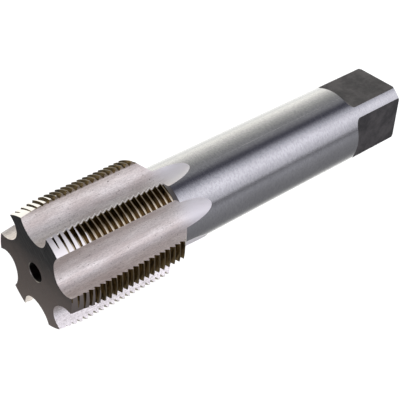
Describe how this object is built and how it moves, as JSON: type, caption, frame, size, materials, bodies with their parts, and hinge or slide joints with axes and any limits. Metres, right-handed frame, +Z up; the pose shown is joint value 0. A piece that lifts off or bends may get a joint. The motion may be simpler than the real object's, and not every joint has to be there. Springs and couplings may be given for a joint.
{
  "type": "thread tap",
  "caption": "Hand tap for a right-hand fine metric thread: straight-fluted threaded head with a relieved lead, plain round shank and driving square.",
  "frame": {"origin": "the middle of the bounding box at its base, on the surface that the tap lies on", "axes": "+X along the tap from its nose to its square, dipping by the 2.96 degrees at which the tap lies, and +Z up"},
  "size_m": [0.1502, 0.039, 0.0384],
  "materials": {
    "tool_steel": "satin ground, with darker milled square flats and nose face"
  },
  "bodies": {
    "root": {"tap_body": "tool_steel"}
  },
  "joints": []
}
